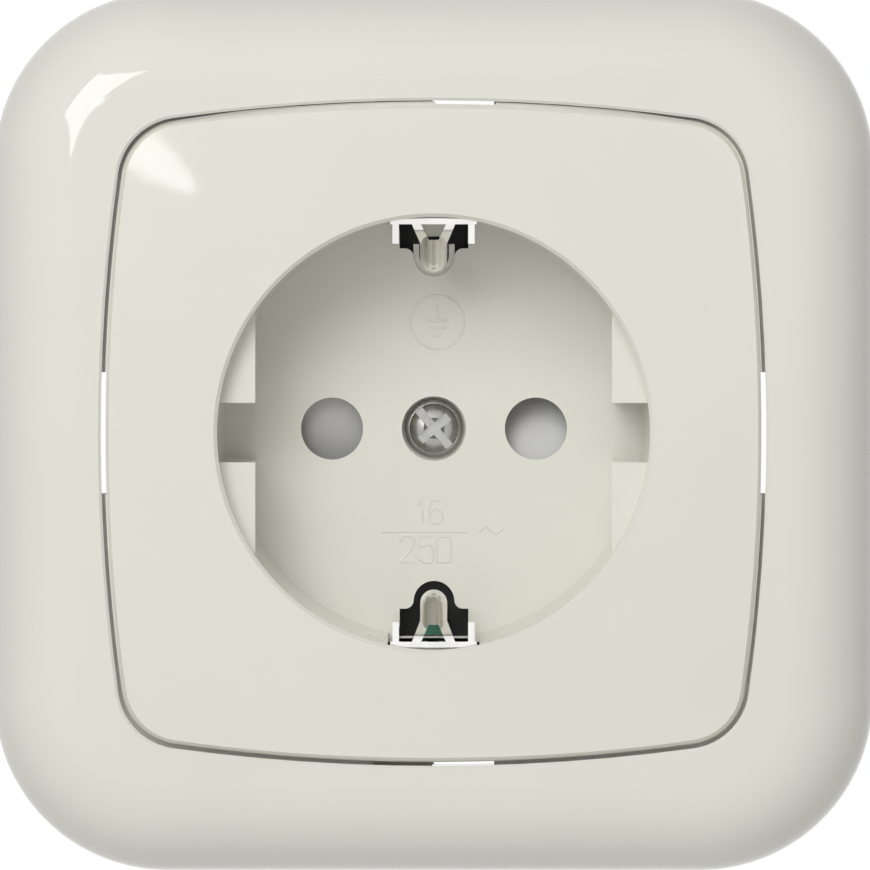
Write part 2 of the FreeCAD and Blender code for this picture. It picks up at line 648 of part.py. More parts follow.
def terminals():
    """Middle of each wire terminal across, and the side it lies on: up for the pins, down for earth."""
    return {"live": (-PIN_X, 1), "neutral": (PIN_X, 1), "earth": (0.0, -1)}


def rear_cover():
    cover = base_outline(COVER_Y, COVER_BACK_Y)
    front, back = COVER_Y - OVER, COVER_BACK_Y + OVER
    wire_z = TAIL_AT + TAIL_THICK + WIRE_SPACE / 2
    cuts = [rod(COVER_SCREW_R + FIT, front, back, x, z) for x, z in cover_screw_places()]
    half_w = BUTTON_WIDTH / 2 + BUTTON_PLAY
    half_h = BUTTON_HEIGHT / 2 + BUTTON_PLAY
    for x, side in terminals().values():
        cuts += [rod(WIRE_HOLE_R, front, back, x + s * WIRE_SPACING / 2, side * wire_z)
                 for s in (-1, 1)]
        z = side * BUTTON_AT
        cuts.append(box(x - half_w, x + half_w, front, back, z - half_h, z + half_h))
    return cover.cut(fuse(cuts))


def cover_screws():
    screws = []
    for x, z in cover_screw_places():
        head = rod(COVER_SCREW_HEAD_R, COVER_BACK_Y, COVER_BACK_Y + COVER_SCREW_HEAD, x, z)
        shank = rod(COVER_SCREW_R, COVER_Y - COVER_SCREW_LENGTH + COVER_THICK,
                    COVER_BACK_Y + FIT, x, z)
        screws.append(fuse([head, shank]))
    return Part.makeCompound(screws)


def earth_rib():
    """Half-round rib of the upper tongue: it rises from the strip, bulges inwards and springs back."""
    neck_z = EARTH_LEG_Z - EARTH_RIB_ROOT
    start = V(0, EARTH_TOP_Y + EARTH_RIB_FROM_TOP, neck_z)
    bulge = V(0, RIM_Y + EARTH_REACH_DEPTH, EARTH_BULGE_Z + EARTH_RIB_R)
    tip = V(0, EARTH_TIP_Y, bulge.z + EARTH_SPRING_BACK)
    before, after = (bulge - start).normalize(), (tip - bulge).normalize()
    turn = before.getAngle(after)
    reach = EARTH_RIB_BEND_R * math.tan(turn / 2)
    middle = bulge + (after - before).normalize() * (EARTH_RIB_BEND_R / math.cos(turn / 2)
                                                     - EARTH_RIB_BEND_R)
    bend_from, bend_to = bulge - before * reach, bulge + after * reach
    path = Part.Wire([Part.LineSegment(start, bend_from).toShape(),
                      Part.Arc(bend_from, middle, bend_to).toShape(),
                      Part.LineSegment(bend_to, tip).toShape()])
    inward = V(0, before.z, -before.y)
    arcs = []
    for r in (EARTH_RIB_R, EARTH_RIB_R - EARTH_THICK):
        arcs.append(Part.Arc(start + V(r, 0, 0), start + inward * r, start - V(r, 0, 0)).toShape())
    ends = [Part.LineSegment(start + V(s * EARTH_RIB_R, 0, 0),
                             start + V(s * (EARTH_RIB_R - EARTH_THICK), 0, 0)).toShape()
            for s in (-1, 1)]
    section = Part.Wire(Part.__sortEdges__(arcs + ends))
    return path.makePipeShell([section], True, False)


def earth_clip():
    """Upper half of the bow: leg along the well's wall, crossbar, two ears and the sprung tongue."""
    bow_middle, top_middle = BOW_Y + EARTH_THICK / 2, EARTH_TOP_Y + EARTH_THICK / 2
    neck_z = WELL_R - EARTH_NECK
    route = [(0, bow_middle), (EARTH_LEG_Z, bow_middle), (EARTH_LEG_Z, top_middle),
             (EARTH_CROSSBAR_Z - EARTH_THICK / 2, top_middle),
             (neck_z, EARTH_TOP_Y + EARTH_SLOPE_DEPTH)]
    strip = bent_strip(route, EARTH_THICK, EARTH_WIDTH / 2, EARTH_BEND_R)
    shoulder, neck = EARTH_SHOULDER_WIDTH / 2, EARTH_RIB_R
    legs = prism([V(-shoulder, -FAR, EARTH_CROSSBAR_Z), V(-neck, -FAR, neck_z), V(-neck, -FAR, 0),
                  V(neck, -FAR, 0), V(neck, -FAR, neck_z), V(shoulder, -FAR, EARTH_CROSSBAR_Z)],
                 2 * FAR, FORWARD)
    beside = box(-EARTH_WIDTH, EARTH_WIDTH, EARTH_TOP_Y - OVER, FLOOR_Y, 0, EARTH_CROSSBAR_Z)
    wide, narrow = EARTH_WINDOW_WIDTH / 2, EARTH_WINDOW_NECK / 2
    low = EARTH_CROSSBAR_Z - EARTH_WINDOW_LENGTH
    window = prism([V(-wide, EARTH_TOP_Y - OVER, EARTH_CROSSBAR_Z), V(-narrow, EARTH_TOP_Y - OVER, low),
                    V(narrow, EARTH_TOP_Y - OVER, low), V(wide, EARTH_TOP_Y - OVER, EARTH_CROSSBAR_Z)],
                   FLOOR_Y - EARTH_TOP_Y, FORWARD)
    ear = box(EARTH_EAR_X - EARTH_THICK, EARTH_EAR_X, top_middle, top_middle + EARTH_EAR_LENGTH,
              WELL_R - EARTH_EAR, EARTH_LEG_Z)
    tongue = strip.cut(beside.cut(legs)).fuse(earth_rib()).cut(window)
    return fuse([tongue, ear, mirrored_x(ear)])


def earth_bow():
    upper = earth_clip().cut(rib_hole(BOW_Y, BOW_BACK_Y))
    end = BOW_BACK_Y + EARTH_THREAD_LENGTH
    thread = rod(SCREW_R + EARTH_THREAD_WALL, BOW_Y + EARTH_THICK / 2, end)
    bow = fuse([upper, mirrored_z(upper), thread])
    return bow.cut(rod(SCREW_R + FIT, BOW_Y - OVER, end + OVER))


def pin_contact(x):
    """Fork that grips a pin, with a tail at its top for the wire clamp."""
    back = BASE_DEPTH - CONTACT_PLAY - CONTACT_THICK / 2
    front = POCKET_Y + 2 * CONTACT_PLAY
    shoulder = (front + back) / 2 + CONTACT_BEND_R
    arm = [(CONTACT_SPREAD, back), (CONTACT_SPREAD, shoulder),
           (CONTACT_GRIP + CONTACT_THICK / 2, front + CONTACT_FLARE),
           (CONTACT_SPREAD + CONTACT_MOUTH, front)]
    route = [(-u, y) for u, y in reversed(arm)] + arm
    fork = bent_strip(route, CONTACT_THICK, CONTACT_HALF_HEIGHT, CONTACT_BEND_R)
    fork.rotate(V(0, 0, 0), FORWARD, 90)
    half = CONTACT_SPREAD - CONTACT_BEND_R
    web = box(-half, half, back - CONTACT_THICK / 2, back + CONTACT_THICK / 2,
              0, TAIL_AT + TAIL_THICK)
    tail = box(-half, half, front + CONTACT_FLARE, back + CONTACT_THICK / 2,
               TAIL_AT, TAIL_AT + TAIL_THICK)
    contact = fuse([fork, web, tail])
    contact.translate(V(x, 0, 0))
    return contact


def earth_terminal():
    """Angle strip from the bow back into the earth wire's pocket."""
    half = CONTACT_SPREAD
    flat = box(-half, half, BOW_BACK_Y, BOW_BACK_Y + TAIL_THICK, -POCKET_END + TERMINAL_END, -TAIL_AT)
    tail = box(-half, half, BOW_BACK_Y, BASE_DEPTH - TAIL_SHORT, -TAIL_AT - TAIL_THICK, -TAIL_AT)
    return fuse([flat, tail])


def clamp_spring(x, side):
    """Folded spring whose free end presses the wire against the tail."""
    route = [(CLAMP_AT, BASE_DEPTH - CLAMP_END), (CLAMP_AT, CLAMP_FOOT_Y), (CLAMP_FREE_Z, CLAMP_FREE_Y)]
    spring = bent_strip(route, CLAMP_THICK, CLAMP_WIDTH / 2, CLAMP_BEND_R)
    if side < 0:
        spring = mirrored_z(spring)
    spring.translate(V(x, 0, 0))
    return spring


def release_button(x, side):
    """Push button in the rear cover, whose nose stands just behind the clamp's sloping leg."""
    half_w, half_h = BUTTON_WIDTH / 2, BUTTON_HEIGHT / 2
    low, high = BUTTON_AT - half_h, BUTTON_AT + half_h
    head = box(-half_w, half_w, COVER_Y - BUTTON_ROOT, COVER_BACK_Y + BUTTON_PROUD, low, high)
    head = head.makeFillet(BUTTON_EDGE_R, [e for e in head.Edges if e.BoundBox.YMin > COVER_BACK_Y])
    flange_back = COVER_Y - CONTACT_PLAY
    flange = box(-half_w - BUTTON_FLANGE, half_w + BUTTON_FLANGE,
                 flange_back - BUTTON_FLANGE_THICK, flange_back,
                 low - BUTTON_FLANGE, high + BUTTON_FLANGE)
    slope = (CLAMP_FREE_Y - CLAMP_FOOT_Y) / (CLAMP_AT - CLAMP_FREE_Z)
    nose_y = CLAMP_FOOT_Y + (CLAMP_AT - low) * slope + NOSE_GAP
    nose = box(-half_w, half_w, nose_y, flange_back, low, low + BUTTON_NOSE)
    button = fuse([head, flange, nose])
    if side < 0:
        button = mirrored_z(button)
    button.translate(V(x, 0, 0))
    return button


def claw():
    """Right claw: its sloping inner edge rides up the rails as the nut draws it forward."""
    inner_back = BASE_HALF_WIDTH + (RAMP_BACK - CLAW_BACK) * CLAW_SLOPE + RAMP_PLAY
    inner_front = inner_back + CLAW_PLATE * CLAW_SLOPE
    points = [(inner_back, CLAW_BACK), (inner_front, CLAW_FRONT),
              (CLAW_HOOK_IN, CLAW_FRONT), (CLAW_HOOK_IN, CLAW_TIP)]
    pitch = CLAW_LENGTH / CLAW_TEETH
    for i in range(CLAW_TEETH):
        points.append((CLAW_OUT, CLAW_TIP + (i + 0.1) * pitch))
        points.append((CLAW_OUT - CLAW_TOOTH, CLAW_TIP + (i + 0.9) * pitch))
    points.append((CLAW_OUT - CLAW_TOOTH, CLAW_BACK))
    outline = [V(x, y, -CLAW_HALF_WIDTH) for x, y in points]
    body = prism(outline, 2 * CLAW_HALF_WIDTH, V(0, 0, 1))
    half = CLAW_SCREW_R + CLAW_HOLE_PLAY
    front, back = CLAW_FRONT - OVER, CLAW_BACK + OVER
    slot = fuse([box(0, CLAW_SCREW_X, front, back, -half, half), rod(half, front, back, CLAW_SCREW_X)])
    return body.cut(slot)


def claw_nut():
    front = CLAW_BACK + NUT_PLAY
    back = front + NUT_THICK
    block = box(CLAW_SCREW_X - NUT_HALF, CLAW_SCREW_X + NUT_HALF, front, back, -NUT_HALF, NUT_HALF)
    return block.cut(rod(CLAW_SCREW_R + FIT, front - OVER, back + OVER, CLAW_SCREW_X))


def claw_screw():
    front = -RING_THICK - CLAW_SCREW_HEAD
    head = rod(CLAW_SCREW_HEAD_R, front, -RING_THICK, CLAW_SCREW_X)
    shank = rod(CLAW_SCREW_R, -RING_THICK - FIT, BASE_DEPTH - CLAW_SCREW_SHORT, CLAW_SCREW_X)
    slot = box(CLAW_SCREW_X - FAR, CLAW_SCREW_X + FAR, front - OVER, front + CLAW_SCREW_HEAD / 2,
               -SCREW_SLOT_WIDTH / 2, SCREW_SLOT_WIDTH / 2)
    return fuse([head, shank]).cut(slot)


def nodes():
    parts = {
        "cover_frame": cover_frame(),
        "centre_plate": centre_plate(),
        "centre_screw": centre_screw(),
        "shutter": shutter(),
        "shutter_spring": shutter_spring(),
        "shutter_retainer": shutter_retainer(),
        "mounting_ring": mounting_ring(),
        "ring_rivets": ring_rivets(),
        "socket_base": socket_base(),
        "rear_cover": rear_cover(),
        "cover_screws": cover_screws(),
        "earth_bow": earth_bow(),
        "live_contact": pin_contact(-PIN_X),
        "neutral_contact": pin_contact(PIN_X),
        "earth_terminal": earth_terminal(),
    }
    for name, (x, side) in terminals().items():
        parts[name + "_clamp"] = clamp_spring(x, side)
        parts[name + "_release"] = release_button(x, side)
    right = {"claw": claw(), "claw_nut": claw_nut(), "claw_screw": claw_screw()}
    for name, shape in right.items():
        parts["right_" + name] = shape
        parts["left_" + name] = mirrored_x(shape)
    return parts


def main():
    os.makedirs("parts", exist_ok=True)
    for name, shape in nodes().items():
        print(name, len(shape.Solids), shape.isValid(), round(shape.Volume, 1))
        shape.exportStep("parts/" + name + ".step")


main()
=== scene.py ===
import math

import bmesh
import bpy
from mathutils import Matrix, Vector


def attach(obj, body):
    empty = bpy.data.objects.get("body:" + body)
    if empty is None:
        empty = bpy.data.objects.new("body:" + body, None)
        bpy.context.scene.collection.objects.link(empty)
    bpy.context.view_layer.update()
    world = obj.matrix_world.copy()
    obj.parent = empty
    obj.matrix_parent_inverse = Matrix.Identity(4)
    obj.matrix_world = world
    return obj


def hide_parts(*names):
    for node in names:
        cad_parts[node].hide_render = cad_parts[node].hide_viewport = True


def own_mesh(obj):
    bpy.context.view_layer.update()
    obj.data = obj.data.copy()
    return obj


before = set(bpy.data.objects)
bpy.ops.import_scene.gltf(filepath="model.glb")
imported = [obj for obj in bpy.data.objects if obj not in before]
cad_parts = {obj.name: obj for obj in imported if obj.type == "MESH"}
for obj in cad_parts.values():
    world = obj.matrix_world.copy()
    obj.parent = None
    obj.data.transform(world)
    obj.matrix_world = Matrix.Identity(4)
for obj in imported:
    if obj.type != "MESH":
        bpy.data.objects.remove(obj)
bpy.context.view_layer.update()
MM = 0.001
scene = bpy.data.scenes[0]


# Cover frame
# The pale outer frame: one injection moulding in glossy cream plastic, pressed on over the mounting
# ring and held by the edge of the centre plate.

CREAM = (0.775, 0.768, 0.700)
CLOUD_SCALE = 60.0
CLOUD_DARK = 0.955
CLOUD_WARM = (1.012, 1.008, 0.995)
RIPPLE_SCALE = 900.0
PLASTIC_IOR = 1.52


def add_node(tree, kind, at, **settings):
    node = tree.nodes.new(kind)
    node.location = at
    for key, value in settings.items():
        setattr(node, key, value)
    return node


def moulding_tone():
    """Node group: slow changes of tone and gloss, and the faint ripple of a moulded skin."""
    group = bpy.data.node_groups.new("moulding_tone", "ShaderNodeTree")
    face = group.interface
    for name in ("Cloud Scale", "Ripple Scale"):
        face.new_socket(name, in_out="INPUT", socket_type="NodeSocketFloat")
    for name in ("Cloud", "Ripple"):
        face.new_socket(name, in_out="OUTPUT", socket_type="NodeSocketFloat")
    inputs = add_node(group, "NodeGroupInput", (-600, 0))
    outputs = add_node(group, "NodeGroupOutput", (400, 0))
    place = add_node(group, "ShaderNodeTexCoord", (-600, -300))
    cloud = add_node(group, "ShaderNodeTexNoise", (-200, 150))
    ripple = add_node(group, "ShaderNodeTexNoise", (-200, -150))
    cloud.inputs["Detail"].default_value = 3.0
    ripple.inputs["Detail"].default_value = 2.0
    for texture, size in ((cloud, "Cloud Scale"), (ripple, "Ripple Scale")):
        group.links.new(place.outputs["Object"], texture.inputs["Vector"])
        group.links.new(inputs.outputs[size], texture.inputs["Scale"])
    group.links.new(cloud.outputs["Fac"], outputs.inputs["Cloud"])
    group.links.new(ripple.outputs["Fac"], outputs.inputs["Ripple"])
    return group


MOULDING_TONE = moulding_tone()


def moulded_plastic(name, colour, gloss, spread, ripple_depth, ripple_scale=RIPPLE_SCALE):
    """Moulded plastic: its roughness lies around gloss, within spread, and its tone varies."""
    material = bpy.data.materials.new(name)
    material.use_nodes = True
    tree = material.node_tree
    shader = tree.nodes["Principled BSDF"]
    tone = add_node(tree, "ShaderNodeGroup", (-900, 0), node_tree=MOULDING_TONE)
    tone.inputs["Cloud Scale"].default_value = CLOUD_SCALE
    tone.inputs["Ripple Scale"].default_value = ripple_scale
    shade = add_node(tree, "ShaderNodeMix", (-500, 200), data_type="RGBA")
    darker = [c * CLOUD_DARK for c in colour]
    warmer = [min(c * f, 1.0) for c, f in zip(colour, CLOUD_WARM)]
    shade.inputs["A"].default_value = (*darker, 1)
    shade.inputs["B"].default_value = (*warmer, 1)
    rough = add_node(tree, "ShaderNodeMapRange", (-500, -50))
    rough.inputs["To Min"].default_value = gloss - spread
    rough.inputs["To Max"].default_value = gloss + spread
    bump = add_node(tree, "ShaderNodeBump", (-250, -300))
    bump.inputs["Strength"].default_value = 1.0
    bump.inputs["Distance"].default_value = ripple_depth
    tree.links.new(tone.outputs["Cloud"], shade.inputs["Factor"])
    tree.links.new(tone.outputs["Cloud"], rough.inputs["Value"])
    tree.links.new(tone.outputs["Ripple"], bump.inputs["Height"])
    tree.links.new(shade.outputs["Result"], shader.inputs["Base Color"])
    tree.links.new(rough.outputs["Result"], shader.inputs["Roughness"])
    tree.links.new(bump.outputs["Normal"], shader.inputs["Normal"])
    shader.inputs["IOR"].default_value = PLASTIC_IOR
    return material


def finish_node(node, material):
    """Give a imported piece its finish."""
    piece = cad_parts[node]
    piece.data.materials.clear()
    piece.data.materials.append(material)


cream_gloss = moulded_plastic("cream_gloss", CREAM, gloss=0.045, spread=0.01, ripple_depth=8e-7)
finish_node("cover_frame", cream_gloss)


# Centre plate
# The domed plate with the plug well, in the same cream plastic as the frame and a little glossier.
# One screw in the middle of the well holds it.

cream_plate = moulded_plastic("cream_plate", CREAM, gloss=0.035, spread=0.01, ripple_depth=8e-7)
finish_node("centre_plate", cream_plate)


# Rib in the gap
# A thin rib, moulded on the plate, stands in the gap to the frame and leaves a hairline. It is
# thicker along the top, apart from a notch right of the middle, and lies deeper along the bottom.
# At the middle of the left and right sides it is missing.

MERGE_WITHIN = 1e-6
RIB_OUT = 0.12 * MM
RIB_CUT_Y = -9.0 * MM
RIB_BACK_Y = -8.45 * MM
RIB_BELOW_FACE = 0.45 * MM
DOME_R = 450.0 * MM
DOME_TOP_Y = -11.3 * MM
SIDE_NOTCH_HALF = 5.65 * MM
TOP_NOTCH = (0.2 * MM, 5.7 * MM)
NOTCH_EDGE = (0.10 * MM, 0.05 * MM)
TOP_RIB_OUT = 0.24 * MM
TOP_RIB_FROM_Z = 24 * MM
TOP_RIB_END_X = 26 * MM
LOW_RIB_DEEPER = 0.45 * MM
LOW_RIB_FROM_Z = -20 * MM
RIB_FADE = 8 * MM


def to_object(name, mesh):
    """Put a finished bmesh into the scene as an object, and free it."""
    data = bpy.data.meshes.new(name)
    mesh.to_mesh(data)
    mesh.free()
    thing = bpy.data.objects.new(name, data)
    scene.collection.objects.link(thing)
    return thing


def dress(piece, material, body):
    """Give a new piece its finish and let it move with a body."""
    piece.data.materials.clear()
    piece.data.materials.append(material)
    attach(piece, body)


def share(length, whole):
    """How much of a whole length is reached, from 0 to 1."""
    return min(1.0, max(0.0, length / whole))


def only(kind, parts):
    """The parts of one kind, from what a bmesh operator gives back."""
    return [part for part in parts if isinstance(part, kind)]


def cut_across(mesh, place, way, **clear):
    """Cut new edges into a mesh along a plane, and clear the sides of it that are named."""
    bmesh.ops.bisect_plane(mesh, geom=mesh.verts[:] + mesh.edges[:] + mesh.faces[:],
                           plane_co=place, plane_no=way, **clear)


# A slice through the plate's edge gives loops of edges, and the one that reaches furthest to the
# side is the plate's outline.
rib = bmesh.new()
rib.from_mesh(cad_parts["centre_plate"].data)
bmesh.ops.remove_doubles(rib, verts=rib.verts, dist=MERGE_WITHIN)
cut_across(rib, (0, RIB_CUT_Y, 0), (0, 1, 0), clear_inner=True, clear_outer=True)
bmesh.ops.remove_doubles(rib, verts=rib.verts, dist=2 * MERGE_WITHIN)
outline = {max(rib.verts, key=lambda v: v.co.x)}
reached = list(outline)
while reached:
    spot = reached.pop()
    fresh = [e.other_vert(spot) for e in spot.link_edges if e.other_vert(spot) not in outline]
    outline.update(fresh)
    reached += fresh
bmesh.ops.delete(rib, geom=[v for v in rib.verts if v not in outline], context="VERTS")

# The outline is drawn out into a band that follows the dome of the plate in front.
front = only(bmesh.types.BMVert, bmesh.ops.extrude_edge_only(rib, edges=rib.edges[:])["geom"])
for spot in outline:
    spot.co.y = RIB_BACK_Y
for spot in front:
    dome_y = DOME_TOP_Y + DOME_R - math.sqrt(DOME_R ** 2 - spot.co.x ** 2 - spot.co.z ** 2)
    deeper = LOW_RIB_DEEPER * share(LOW_RIB_FROM_Z - spot.co.z, RIB_FADE)
    spot.co.y = dome_y + RIB_BELOW_FACE + deeper

# New edges bound the notches, and the band opens at the middle of both sides.
for x in (TOP_NOTCH[0] - NOTCH_EDGE[0], TOP_NOTCH[0] + NOTCH_EDGE[1],
          TOP_NOTCH[1] - NOTCH_EDGE[1], TOP_NOTCH[1] + NOTCH_EDGE[0]):
    cut_across(rib, (x, 0, 0), (1, 0, 0))
for z in (-SIDE_NOTCH_HALF, SIDE_NOTCH_HALF):
    cut_across(rib, (0, 0, z), (0, 0, 1))
middles = [f for f in rib.faces if abs(f.calc_center_median().z) < SIDE_NOTCH_HALF]
bmesh.ops.delete(rib, geom=middles, context="FACES")

# The band gets its thickness outwards, so its faces have to point away from the plate.
bmesh.ops.recalc_face_normals(rib, faces=rib.faces)
facing_out = sum(f.normal.dot(f.calc_center_median() * Vector((1, 0, 1))) for f in rib.faces)
if facing_out < 0:
    bmesh.ops.reverse_faces(rib, faces=rib.faces)
inner_skin = set(rib.verts)
bmesh.ops.solidify(rib, geom=rib.faces[:], thickness=-RIB_OUT)
for spot in rib.verts:
    in_notch = TOP_NOTCH[0] < spot.co.x < TOP_NOTCH[1]
    if spot not in inner_skin and spot.co.z > TOP_RIB_FROM_Z and not in_notch:
        spot.co.z += TOP_RIB_OUT * share(TOP_RIB_END_X - abs(spot.co.x), RIB_FADE)
bmesh.ops.recalc_face_normals(rib, faces=rib.faces)
dress(to_object("gap_rib", rib), cream_plate, "socket")


# Linings of the earth openings
# Small steps in the floor of the well, behind the ears and the tongues of the earth bow. They are
# one moulding with the plate.

ARCH_STEPS = 24


def block(mesh, low, high):
    """Add a block between two corners in millimetres to a mesh."""
    low, high = Vector(low) * MM, Vector(high) * MM
    size = high - low
    place = Matrix.Translation((low + high) / 2) @ Matrix.Diagonal((*size, 1))
    bmesh.ops.create_cube(mesh, size=1, matrix=place)


def grow(mesh, edges, way):
    """Extrude edges along a way in millimetres."""
    grown = bmesh.ops.extrude_edge_only(mesh, edges=edges)["geom"]
    bmesh.ops.translate(mesh, verts=only(bmesh.types.BMVert, grown), vec=Vector(way) * MM)


def arch_lip(mesh, inner, outer, front, back, middle_z, rise):
    """Add a half ring below middle_z, with straight ends that rise by a length."""
    corners = [mesh.verts.new((r * MM, y * MM, middle_z * MM)) for r, y in
               ((inner, front), (outer, front), (outer, back), (inner, back))]
    loop = [mesh.edges.new(pair) for pair in zip(corners, corners[1:] + corners[:1])]
    grow(mesh, loop, (0, 0, rise))
    turned = bmesh.ops.spin(mesh, geom=corners + loop, axis=(0, 1, 0), cent=(0, 0, middle_z * MM),
                            angle=math.pi, steps=ARCH_STEPS)["geom_last"]
    grow(mesh, only(bmesh.types.BMEdge, turned), (0, 0, rise))
    bmesh.ops.holes_fill(mesh, edges=[e for e in mesh.edges if e.is_boundary], sides=4)


CHEEK_IN, CHEEK_OUT = 3.25, 4.35
CHEEK_LOW, CHEEK_HIGH = 17.5, 19.9
CHEEK_FRONT_Y, CHEEK_BACK_Y = 6.66, 8.6
WINDOW_HALF, WINDOW_LOW, WINDOW_FRONT_Y = 1.4, 17.9, 7.1

linings = bmesh.new()
for x in (-1, 1):
    for z in (-1, 1):
        block(linings,
              (min(x * CHEEK_IN, x * CHEEK_OUT), CHEEK_FRONT_Y, min(z * CHEEK_LOW, z * CHEEK_HIGH)),
              (max(x * CHEEK_IN, x * CHEEK_OUT), CHEEK_BACK_Y, max(z * CHEEK_LOW, z * CHEEK_HIGH)))
block(linings, (-WINDOW_HALF, WINDOW_FRONT_Y, WINDOW_LOW), (WINDOW_HALF, CHEEK_BACK_Y, CHEEK_HIGH))
arch_lip(linings, inner=1.38, outer=1.92, front=7.0, back=8.5, middle_z=16.1, rise=1.1)
bmesh.ops.recalc_face_normals(linings, faces=linings.faces)
dress(to_object("earth_opening_linings", linings), cream_plate, "socket")


# Marks on the floor of the well
# Fine raised lines of the same moulding: the sign for earth above the screw, and the plain rating
# numbers below it.

FLOOR_Y = 6.645 * MM
LINE_R = 0.13 * MM
LINE_SINK = 0.05 * MM
EARTH_SIGN_R = 2.5
EARTH_SIGN_AT = (0.31, 9.93)
AMPS_AT = (-0.5, -7.72)
VOLTS_AT = (-0.81, -11.25)
BAR_HALF = 4.0
BAR_AT = (-0.9, -9.62)
WAVE_AT = (5.35, -9.45)


def as_mesh(name, shape):
    """Put the mesh that an object makes in its place, as a new object."""
    bpy.context.view_layer.update()
    shaped = shape.evaluated_get(bpy.context.evaluated_depsgraph_get())
    data = bpy.data.meshes.new_from_object(shaped)
    bpy.data.objects.remove(shape)
    data.name = name
    thing = bpy.data.objects.new(name, data)
    scene.collection.objects.link(thing)
    return thing


def smooth(data, sharp_degrees=None):
    """Shade a mesh smooth, apart from edges sharper than an angle if one is given."""
    data.polygons.foreach_set("use_smooth", [True] * len(data.polygons))
    if sharp_degrees is not None:
        data.set_sharp_from_angle(angle=math.radians(sharp_degrees))


def add_stroke(curve, kind, points, at):
    """Add a line through (x, z) points in millimetres, about a middle point, and return it."""
    line = curve.splines.new(kind)
    line.points.add(len(points) - 1)
    for spot, (x, z) in zip(line.points, points):
        spot.co = ((at[0] + x) * MM, FLOOR_Y + LINE_SINK, (at[1] + z) * MM, 1)
    return line


def raised_line(name, strokes, at, round_strokes=()):
    """Straight and round strokes as raised lines on the floor, about a middle point."""
    curve = bpy.data.curves.new(name, "CURVE")
    curve.dimensions = "3D"
    curve.bevel_depth = LINE_R
    curve.bevel_resolution = 3
    curve.use_fill_caps = True
    for points in strokes:
        add_stroke(curve, "POLY", points, at)
    for points in round_strokes:
        line = add_stroke(curve, "NURBS", points, at)
        line.order_u = 3
        line.use_endpoint_u = True
        line.resolution_u = 6
    line = bpy.data.objects.new(name + "_curve", curve)
    scene.collection.objects.link(line)
    mark = as_mesh(name, line)
    smooth(mark.data)
    dress(mark, cream_plate, "socket")


def ring_points(r, count=48):
    """Points round a circle, the last one on the first."""
    turn = 2 * math.pi / count
    return [(r * math.sin(i * turn), r * math.cos(i * turn)) for i in range(count + 1)]


raised_line("earth_sign", [
    ring_points(EARTH_SIGN_R),
    [(0, 1.5), (0, 0.15)],
    [(-1.1, 0.15), (1.1, 0.15)],
    [(-0.75, -0.55), (0.75, -0.55)],
    [(-0.4, -1.25), (0.4, -1.25)],
], EARTH_SIGN_AT)

DIGITS = {
    "0": ([], [[(0, 1.2), (0.62, 1.2), (0.68, 0.5), (0.68, -0.5), (0.62, -1.2), (0, -1.2),
                (-0.62, -1.2), (-0.68, -0.5), (-0.68, 0.5), (-0.62, 1.2), (0, 1.2)]]),
    "1": ([[(-0.45, 0.75), (0.1, 1.2), (0.1, -1.2)]], []),
    "2": ([[(-0.65, -1.2), (0.68, -1.2)]],
          [[(-0.62, 0.6), (-0.6, 1.25), (0.1, 1.25), (0.7, 1.15), (0.6, 0.3), (0.1, -0.3),
            (-0.4, -0.8), (-0.65, -1.2)]]),
    "5": ([[(0.6, 1.2), (-0.5, 1.2), (-0.6, 0.15)]],
          [[(-0.6, 0.15), (-0.2, 0.42), (0.68, 0.4), (0.75, -0.45), (0.6, -1.3), (-0.2, -1.25),
            (-0.65, -0.85)]]),
    "6": ([], [[(0.5, 0.95), (0.2, 1.3), (-0.5, 1.25), (-0.68, 0.3), (-0.72, -0.8), (-0.45, -1.25),
                (0.35, -1.3), (0.75, -0.9), (0.65, 0.1), (0.1, 0.3), (-0.5, 0.2), (-0.64, -0.4)]]),
}


def number(name, text, middle, pitch, height=1.0):
    """A whole number in raised lines, its middle at a place on the floor."""
    for i, digit in enumerate(text):
        straight, curved = ([[(x * height, z * height) for x, z in line] for line in lines]
                            for lines in DIGITS[digit])
        x = middle[0] + (i - (len(text) - 1) / 2) * pitch
        raised_line(f"{name}_{i + 1}", straight, (x, middle[1]), curved)


number("amps", "16", AMPS_AT, pitch=1.28, height=0.86)
number("volts", "250", VOLTS_AT, pitch=1.72)
raised_line("rating_bar", [[(-BAR_HALF, 0), (BAR_HALF, 0)]], BAR_AT)
raised_line("mains_wave", [], WAVE_AT,
            [[(-1.1, -0.2), (-0.8, 0.3), (-0.35, 0.3), (0.1, -0.25), (0.6, -0.3), (1.1, 0.2)]])


# Earth bow
# One strip of nickel-plated spring steel, stamped and bent, with a sprung contact at the top and at
# the bottom of the well. It lies between the plate and the base and takes the centre screw. The
# terminal strip behind it brings the earth wire.

GRAIN_SCALE = 2500.0
STREAK_LOW, STREAK_HIGH = 0.3, 0.7
STREAKS_UPRIGHT = (400.0, 400.0, 60.0)
STREAKS_SHEET = (300.0, 300.0, 35.0)
NO_STREAKS = (900.0, 900.0, 900.0)


